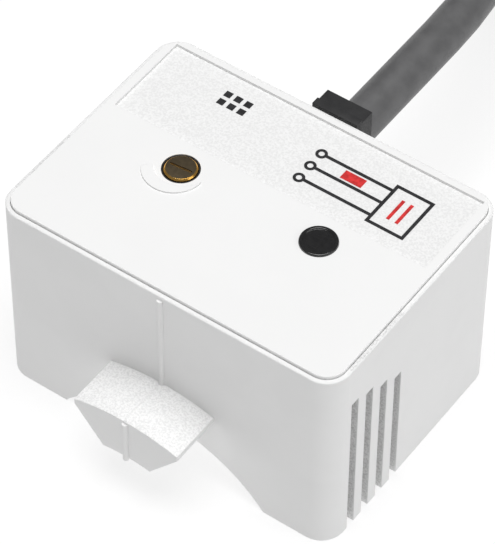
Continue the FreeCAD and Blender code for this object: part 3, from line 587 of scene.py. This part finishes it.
def indicator_window(materials):
    """A dark lens: raised round ring, shallow dish and a slightly domed middle."""
    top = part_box("indicator_window")[1].z
    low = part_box("indicator_window")[0].z
    flange_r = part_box("indicator_window")[1].x - WINDOW_AXIS.x
    dish = top - 0.1 * MM
    inner = WINDOW_R - WINDOW_RIM
    outline = rounded_outline(
        [
            (0.0, low, 0),
            (flange_r, low, 0.08 * MM),
            (flange_r, SEAT_Z, 0.05 * MM),
            (WINDOW_R, SEAT_Z, 0),
            (WINDOW_R, top, 0.11 * MM),
            (inner, top, 0.09 * MM),
            (inner - 0.08 * MM, dish, 0.05 * MM),
            (inner * 0.62, dish + 0.012 * MM, 0.3 * MM),
            (0.0, dish + 0.03 * MM, 0),
        ]
    )
    bm = turned(outline, WINDOW_AXIS)
    black = materials["window_black"]
    lens = new_piece("window_lens", bm, black, "window_black", "sensor", "indicator_window")
    smooth_by_angle(lens, 50)


# --- Trimmer ------------------------------------------------------------------
HEAD_R = 1.53 * MM
SLOT_HALF = 1.135 * MM
SLOT_TURN = math.radians(5.3)  # from the long side
SLOT_WIDTH = 0.26 * MM
SLOT_DEPTH = 0.7 * MM


def slot_cutter():
    """A narrow slot with round ends, sunk into the head."""
    bm = bmesh.new()
    half = SLOT_WIDTH / 2
    straight = SLOT_HALF - half
    steps = 8
    outline = []
    for side in (1, -1):
        for step in range(steps + 1):
            angle = side * math.pi / 2 - side * math.pi * step / steps
            x = side * (straight + half * abs(math.cos(angle)))
            place = Matrix.Rotation(SLOT_TURN, 2) @ Vector((x, half * math.sin(angle)))
            outline.append((TRIMMER_AXIS.x + place.x, TRIMMER_AXIS.y + place.y))
    low, high = HEAD_TOP - SLOT_DEPTH, HEAD_TOP + SLOT_DEPTH
    bottom = [bm.verts.new((x, y, low)) for x, y in outline]
    top = [bm.verts.new((x, y, high)) for x, y in outline]
    bm.faces.new(bottom)
    bm.faces.new(top)
    for step in range(len(outline)):
        after = (step + 1) % len(outline)
        bm.faces.new((bottom[step], bottom[after], top[after], top[step]))
    return tool("slot_cutter", bm)


def trimmer_head(materials):
    """The brass screw: chamfered head with a closed slot, a groove under it and the shank."""
    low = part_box("trimmer_screw")[0].z
    head_low = SEAT_Z - 0.4 * MM
    chamfer = 0.14 * MM
    shank_r = 1.1 * MM
    outline = rounded_outline(
        [
            (0.0, low, 0),
            (shank_r, low, 0.1 * MM),
            (shank_r, head_low, 0.05 * MM),
            (HEAD_R, head_low, 0.06 * MM),
            (HEAD_R, HEAD_TOP - chamfer, 0.02 * MM),
            (HEAD_R - chamfer, HEAD_TOP, 0.02 * MM),
            (0.0, HEAD_TOP, 0),
        ]
    )
    bm = turned(outline, TRIMMER_AXIS)
    head = new_piece("brass_head", bm, materials["brass"], "brass", "trimmer", "trimmer_screw")
    carve(head, slot_cutter())
    smooth_by_angle(head, 30)


def trimmer_ring(materials):
    """The black seal: a lip that stands round the brass head and a flange under the lid."""
    low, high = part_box("trimmer_seal")
    flange_r = high.x - TRIMMER_AXIS.x
    inner, outer = HEAD_R + 0.05 * MM, 1.765 * MM
    outline = [
        (inner, low.z, 0),
        (flange_r, low.z, 0.08 * MM),
        (flange_r, SEAT_Z, 0.05 * MM),
        (outer, SEAT_Z, 0),
        (outer, high.z, 0.08 * MM),
        (inner, high.z, 0.06 * MM),
        (inner, low.z, 0),
    ]
    bm = turned(rounded_outline(outline), TRIMMER_AXIS)
    bmesh.ops.remove_doubles(bm, verts=bm.verts, dist=1e-7)
    ring = new_piece("seal_ring", bm, materials["seal_black"], "seal_black", "sensor", "trimmer_seal")
    smooth_by_angle(ring, 50)


# --- Cable gland --------------------------------------------------------------
GLAND_HALF = 2.43 * MM
GLAND_STEP = 0.87 * MM
GLAND_ROUND = 0.03 * MM
CABLE_D = 4.1 * MM
CABLE_R = CABLE_D / 2


def round_bar_y(centre_x, centre_z, y, radius, segments=64):
    """A round bar along Y, for cutting a bore, as sections of growing depth."""
    stations = []
    for depth, wide in y:
        section = []
        for step in range(segments):
            angle = 2 * math.pi * step / segments
            across = (radius + wide) * math.cos(angle)
            section.append((centre_x + across, depth, centre_z + (radius + wide) * math.sin(angle)))
        stations.append(section)
    return swept(stations)


def gland_block(materials):
    """The two-step block behind the wall, its neck and its inner flange, bored for the cable."""
    end_y = GLAND_HIGH.y
    step_y = BACK_WALL + GLAND_STEP
    inner_half_z = LID_TOP - CABLE_Z
    outer_half_z = HOUSING_HIGH.z - CABLE_Z
    neck = (2.35 * MM, 2.6 * MM)
    flange = (GLAND_HIGH.x, 2.9 * MM)
    wall = 1.5 * MM
    overlap = 0.3 * MM
    bm = bmesh.new()
    layers = [
        (BACK_WALL + 0.005 * MM, step_y, GLAND_HALF, inner_half_z),
        (step_y - overlap, end_y, GLAND_HALF - 0.002 * MM, outer_half_z),
        (BACK_WALL - wall - overlap, BACK_WALL + overlap, *neck),
        (GLAND_LOW.y, BACK_WALL - wall, *flange),
    ]
    for near, far, half_x, half_z in layers:
        low = (-half_x, near, CABLE_Z - half_z)
        high = (half_x, far, CABLE_Z + half_z)
        add_box(bm, low, high, GLAND_ROUND)
    block = new_piece("gland_block", bm, materials["gland_black"], "gland_black", "sensor", "cable_gland")
    flare = 0.18 * MM
    depths = [
        (GLAND_LOW.y - wall, 0.0),
        (end_y - flare, 0.0),
        (end_y + 0.2 * flare, flare),
        (end_y + wall, flare),
    ]
    carve(block, tool("bore_cutter", round_bar_y(0.0, CABLE_Z, depths, CABLE_R + 0.01 * MM)))
    smooth_by_angle(block, 40)


# --- The cable ----------------------------------------------------------------
ROUTE = [
    (0.0, 0.0088, 0.0176),
    (0.0, 0.020, 0.0176),  # keeps the seen stretch straight
    (0.0, 0.042, 0.0176),
    (-0.01595, 0.068, 0.00205),
    (-0.01595, 0.086, 0.00205),
]
HANK_BEND_R = 4 * CABLE_D  # of the middle turns, at the hank's two ends
HANK_X = ROUTE[-1][0] + CABLE_D + HANK_BEND_R
HANK_NEAR_Y = ROUTE[-1][1]
HANK_FAR_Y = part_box("lead_brown")[1].y
SIDE_LENGTH = HANK_FAR_Y - HANK_NEAR_Y
LAP = 2 * (SIDE_LENGTH + math.pi * HANK_BEND_R)
RISE = math.sqrt(3) / 2  # from one layer to the next, in diameters
# Each turn's distance outside the middle line and its height, in diameters, in the order of winding.
WIDE_LAYER = (1.0, 0.0, -1.0)
NARROW_LAYER = (-0.5, 0.5)
LAYERS = (WIDE_LAYER, NARROW_LAYER, WIDE_LAYER, NARROW_LAYER, (0.0,))
TURNS = [(offset, layer * RISE) for layer, offsets in enumerate(LAYERS) for offset in offsets]
POINTS_PER_TURN = 28
CROSSING = 34 * MM  # the stretch of a turn in which it moves to the next turn's place
STAGGER = 3.2 * MM  # the upper turns move a little before the lower ones
CROSSING_LIFT = 0.16  # in diameters, over the ridge of the turn below


def share_of(travel, start, length):
    """How far through a stretch, from 0 to 1, plainly and easing in and out."""
    share = min(1.0, max(0.0, (travel - start) / length))
    return share, share * share * (3 - 2 * share)


def direction_angle(start, end):
    return math.atan2(end[1] - start[1], end[0] - start[0])


def turn_place(number, travel):
    """Distance outside the middle line and height at a place in a turn, in diameters."""
    here, there = TURNS[number], TURNS[number + 1]
    climbs = there[1] > here[1]
    rank = 2 * round(here[1] / RISE) + (1 if climbs else 0)
    share, eased = share_of(travel, LAP - CROSSING - STAGGER * rank, CROSSING)
    if climbs:
        # It rolls up over the turn beside it, which is moving too.
        beside = turn_place(number - 1, travel)
        start = direction_angle(TURNS[number - 1], here)
        end = direction_angle(here, there)
        angle = start + (end - start) * eased
        return beside[0] + math.cos(angle), beside[1] + math.sin(angle)
    lift = CROSSING_LIFT * math.sin(math.pi * share) if here[1] else 0.0
    return here[0] + (there[0] - here[0]) * eased, here[1] + lift


def hank_point(offset, height, travel, pull=1.0):
    """A point round the hank, clockwise from the near end of its left side."""
    reach = HANK_BEND_R + offset * CABLE_D
    along = travel % (LAP / 2)
    if along < SIDE_LENGTH:
        x, y = -reach, along - SIDE_LENGTH / 2
    else:
        angle = math.pi - (along - SIDE_LENGTH) / HANK_BEND_R
        x = reach / pull * math.cos(angle)
        y = reach / pull * math.sin(angle) + SIDE_LENGTH / 2
    if travel >= LAP / 2:
        x, y = -x, -y
    return HANK_X + x, (HANK_NEAR_Y + HANK_FAR_Y) / 2 + y, CABLE_R + height * CABLE_D


def cable_points():
    """The route's own points, then the hank's turns, a layer at a time from the floor up."""
    step = LAP / POINTS_PER_TURN
    # A quadratic spline runs inside its control points by this much.
    pull = 0.75 + 0.25 * math.cos(step / HANK_BEND_R)
    points = list(ROUTE)
    for number in range(len(TURNS) - 1):
        first = 1 if number == 0 else 0
        for index in range(first, POINTS_PER_TURN):
            travel = index * step
            points.append(hank_point(*turn_place(number, travel), travel, pull))
    tail_steps = POINTS_PER_TURN // 2
    for index in range(tail_steps):
        points.append(hank_point(*TURNS[-1], index * step, pull))
    # The jacket ends where the right side begins.
    points.append((HANK_X + HANK_BEND_R, HANK_FAR_Y, points[-1][2]))
    return points


def curve_piece(name, splines, radius, material, resolution=6, bevel_resolution=6):
    """Round rods on smooth splines, as one curve object."""
    data = bpy.data.curves.new(name, "CURVE")
    data.dimensions = "3D"
    data.resolution_u = resolution
    data.bevel_depth = radius
    data.bevel_resolution = bevel_resolution
    data.use_fill_caps = True
    for points in splines:
        spline = data.splines.new("NURBS")
        spline.points.add(len(points) - 1)
        for point, place in zip(spline.points, points):
            point.co = (*place, 1.0)
        spline.order_u = 3
        spline.use_endpoint_u = True
    data.materials.append(material)
    piece = bpy.data.objects.new(name, data)
    bpy.context.scene.collection.objects.link(piece)
    return piece


# --- Stripped leads at the cable's far end ------------------------------------
LEAD_R = 0.6 * MM
LEAD_STEP = 1.3 * MM
CORES = ("brown", "black", "blue")
CORE_PLACES = ((-1.05 * MM, -0.3 * MM), (0.0, 0.6 * MM), (1.05 * MM, -0.3 * MM))  # in the jacket
LEAD_START_Y = HANK_FAR_Y + 2 * MM  # inside the jacket
LEAD_END_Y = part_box("lead_brown")[0].y
TIP_END_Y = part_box("tinned_tips")[0].y
LEAD_DROP = 7 * MM  # the stretch in which a lead comes down onto the turns
WANDER = 0.12 * MM  # how far a lead strays to each side
WANDER_LENGTH = 2.4 * MM
STRAND_R = 0.13 * MM
STRAND_TWIST = 6 * MM  # along a tip for a full twist


def lead_place(index, y):
    """A point on one lead: it leaves the jacket, comes down and lies beside the others."""
    gone = HANK_FAR_Y - y
    eased = share_of(gone, 0.0, LEAD_DROP)[1]
    core_x, core_z = CORE_PLACES[index]
    rest_x = (index - 1) * LEAD_STEP
    # The two turns below lie half a diameter to each side of the leads' middle line.
    from_turn = CABLE_D / 2 - abs(rest_x)
    turn_z = CABLE_R + TURNS[-2][1] * CABLE_D
    rest_z = turn_z + math.sqrt((CABLE_R + LEAD_R) ** 2 - from_turn**2)
    jacket_z = CABLE_R + TURNS[-1][1] * CABLE_D + core_z
    wander = WANDER * math.sin(gone / WANDER_LENGTH + 2.0 * index) * eased
    x = HANK_X + HANK_BEND_R + core_x + (rest_x - core_x) * eased + wander
    return x, y, jacket_z + (rest_z - jacket_z) * eased


def evenly(start, end, count):
    return [start + (end - start) * step / count for step in range(count + 1)]


def make_leads(materials):
    """The three insulated cores, on top of the hank."""
    pieces = []
    for index, colour in enumerate(CORES):
        points = [lead_place(index, y) for y in evenly(LEAD_START_Y, LEAD_END_Y, 20)]
        lead = curve_piece("core_" + colour, [points], LEAD_R, materials["core_" + colour])
        pieces.append(settle(lead, "core_" + colour, "sensor", "lead_" + colour))
    return pieces


def make_tips(materials):
    """Twisted, tinned strands: six round one in each stripped end."""
    splines = []
    for index in range(len(CORES)):
        for strand in range(7):
            points = []
            for y in evenly(LEAD_END_Y + 0.4 * MM, TIP_END_Y, 28):
                x, _, z = lead_place(index, y)
                angle = 2 * math.pi * (strand / 6 + y / STRAND_TWIST)
                reach = 0.0 if strand == 6 else 2 * STRAND_R
                points.append((x + reach * math.cos(angle), y, z + reach * math.sin(angle)))
            splines.append(points)
    tips = curve_piece("tinned_strands", splines, STRAND_R, materials["tinned_wire"], 3, 2)
    return settle(tips, "tinned_wire", "sensor", "tinned_tips")


# --- The hank's ties ----------------------------------------------------------
TIE_HALF = 1.25 * MM
TIE_THICK = 0.75 * MM
TIE_TOOTH = 0.16 * MM
TIE_SPACING = 0.42 * MM  # from one edge of a tooth to the next
LEFT_TIE_Y = HANK_NEAR_Y + 20 * MM
RIGHT_TIE_Y = HANK_NEAR_Y + 6 * MM


def outer_turns(top_turns):
    """The middles of the turns that a belt touches, as (across, up), starting low on the left."""
    right = [(CABLE_D, CABLE_R), (CABLE_D, CABLE_R + 2 * RISE * CABLE_D)]
    left = [(-across, up) for across, up in reversed(right)]
    top = [(offset * CABLE_D, CABLE_R + height * CABLE_D) for offset, height in top_turns]
    return left[1:] + right + top + left[:1]


def belt_stations(middles):
    """Places along a belt pulled round some turns, with the direction that faces away from them."""
    stations = []
    for index, place in enumerate(middles):
        after = middles[(index + 1) % len(middles)]
        start = direction_angle(middles[index - 1], place) - math.pi / 2
        end = direction_angle(place, after) - math.pi / 2
        sweep = (end - start) % (2 * math.pi)
        count = max(2, round(sweep * CABLE_R / TIE_SPACING))
        for angle in evenly(start, start + sweep, count):
            outward = Vector((math.cos(angle), math.sin(angle)))
            stations.append((Vector(place) + outward * CABLE_R, outward))
        run = Vector(after) - Vector(place)
        count = max(2, round(run.length / TIE_SPACING))
        for share in evenly(0.0, 1.0, count)[1:-1]:
            stations.append((Vector(place) + run * share + outward * CABLE_R, outward))
    return stations


def add_strap(bm, middles, side_x, tie_y):
    """A toothed strap round one side of the hank."""
    rings = []
    for number, (place, outward) in enumerate(belt_stations(middles)):
        under = outward.y < -0.5  # under the hank the strap is pressed into the turns
        thick = 0.0 if under else TIE_THICK - (TIE_TOOTH if number % 2 else 0.0)
        inner = place - outward * (TIE_THICK / 2 if under else 0.0)
        edge = place + outward * thick * 0.72
        outer = place + outward * thick
        bevel_half = TIE_HALF * 0.82
        section = [
            (inner, -TIE_HALF),
            (edge, -TIE_HALF),
            (outer, -bevel_half),
            (outer, bevel_half),
            (edge, TIE_HALF),
            (inner, TIE_HALF),
        ]
        rings.append([bm.verts.new((side_x + at.x, tie_y + along, at.y)) for at, along in section])
    for low, high in zip(rings, rings[1:] + rings[:1]):
        for step in range(len(low)):
            after = (step + 1) % len(low)
            bm.faces.new((low[step], low[after], high[after], high[step]))


def add_tie_head(bm, side_x, tie_y, top):
    """The locking head on top of the strap, and the strap's cut end standing in it."""
    head = (1.6 * MM, 1.9 * MM)
    low = (side_x - head[0], tie_y - head[1], top + 0.15 * MM)
    high = (side_x + head[0], tie_y + head[1], top + 2.6 * MM)
    add_box(bm, low, high, 0.4 * MM)
    end_half = 0.35 * MM
    low = (side_x - end_half, tie_y - TIE_HALF, top + 2.3 * MM)
    high = (side_x + end_half, tie_y + TIE_HALF, top + 3.6 * MM)
    add_box(bm, low, high, 0.12 * MM)


def make_ties(materials):
    """One tie round each side: the left one holds the tail too."""
    bm = bmesh.new()
    for side, tie_y, top_turns in (
        (-1, LEFT_TIE_Y, TURNS[-1:]),
        (1, RIGHT_TIE_Y, list(reversed(TURNS[-3:-1]))),
    ):
        side_x = HANK_X + side * HANK_BEND_R
        top = top_turns[0][1] * CABLE_D + CABLE_D
        add_strap(bm, outer_turns(top_turns), side_x, tie_y)
        add_tie_head(bm, side_x, tie_y, top)
    ties = new_piece("tie_straps", bm, materials["tie_white"], "tie_white", "sensor", "hank_ties")
    smooth_by_angle(ties, 28)
    return ties


def make_cable(materials):
    """The jacket on one smooth line, with its leads, tips and ties."""
    jacket = curve_piece("cable_jacket", [cable_points()], CABLE_R, materials["jacket_black"])
    settle(jacket, "jacket_black", "sensor", "cable_run", "cable_hank", "cable_tail")
    going = make_leads(materials) + [make_tips(materials), make_ties(materials)]


# --- Floor and light ----------------------------------------------------------
FLOOR_SIZE = 6.0
FLOOR_GLOW = 0.72
SKY_STRENGTH = 0.18


def make_floor():
    """A plain pale floor."""
    bm = bmesh.new()
    bmesh.ops.create_grid(bm, x_segments=2, y_segments=2, size=FLOOR_SIZE / 2)
    mesh = bpy.data.meshes.new("floor")
    bm.to_mesh(mesh)
    bm.free()
    r = Recipe("floor_pale", Specular_IOR_Level=0.0, Emission_Strength=FLOOR_GLOW)
    cloud = r.noise(0.08, detail=2.0)
    colour = r.mix(cloud, grey(0.295), grey(0.305))
    r.shader.inputs["Emission Color"].default_value = grey(1.0)
    mesh.materials.append(r.finish(colour, r.span(cloud, 0.3, 0.7, 0.85, 0.95)))
    floor = bpy.data.objects.new("floor", mesh)
    floor.location.z = -0.00002
    bpy.context.scene.collection.objects.link(floor)


def area_light(name, place, size, power, target=(0.0, 0.0, 0.012)):
    data = bpy.data.lights.new(name, "AREA")
    data.shape = "DISK"
    data.size = size
    data.energy = power
    light = bpy.data.objects.new(name, data)
    light.location = place
    light.rotation_mode = "QUATERNION"
    light.rotation_quaternion = (Vector(target) - Vector(place)).to_track_quat("-Z", "Y")
    bpy.context.scene.collection.objects.link(light)


def make_light():
    """A soft sky, a large light overhead and a fill on the right."""
    world = bpy.data.worlds.new("sky")
    world.use_nodes = True
    sky = world.node_tree.nodes["Background"]
    sky.inputs["Color"].default_value = grey(1.0)
    sky.inputs["Strength"].default_value = SKY_STRENGTH
    bpy.context.scene.world = world
    area_light("overhead", (0.05, -0.02, 0.9), 0.7, 7.3)
    area_light("right_fill", (0.85, 0.1, 0.35), 0.6, 1.2)
    bpy.context.scene.view_settings.view_transform = "Standard"
    bpy.context.scene.view_settings.look = "None"


make_camera()
slot_materials = make_materials()
dress_nodes(slot_materials)
make_cable(slot_materials)
indicator_window(slot_materials)
trimmer_head(slot_materials)
trimmer_ring(slot_materials)
gland_block(slot_materials)
make_floor()
make_light()
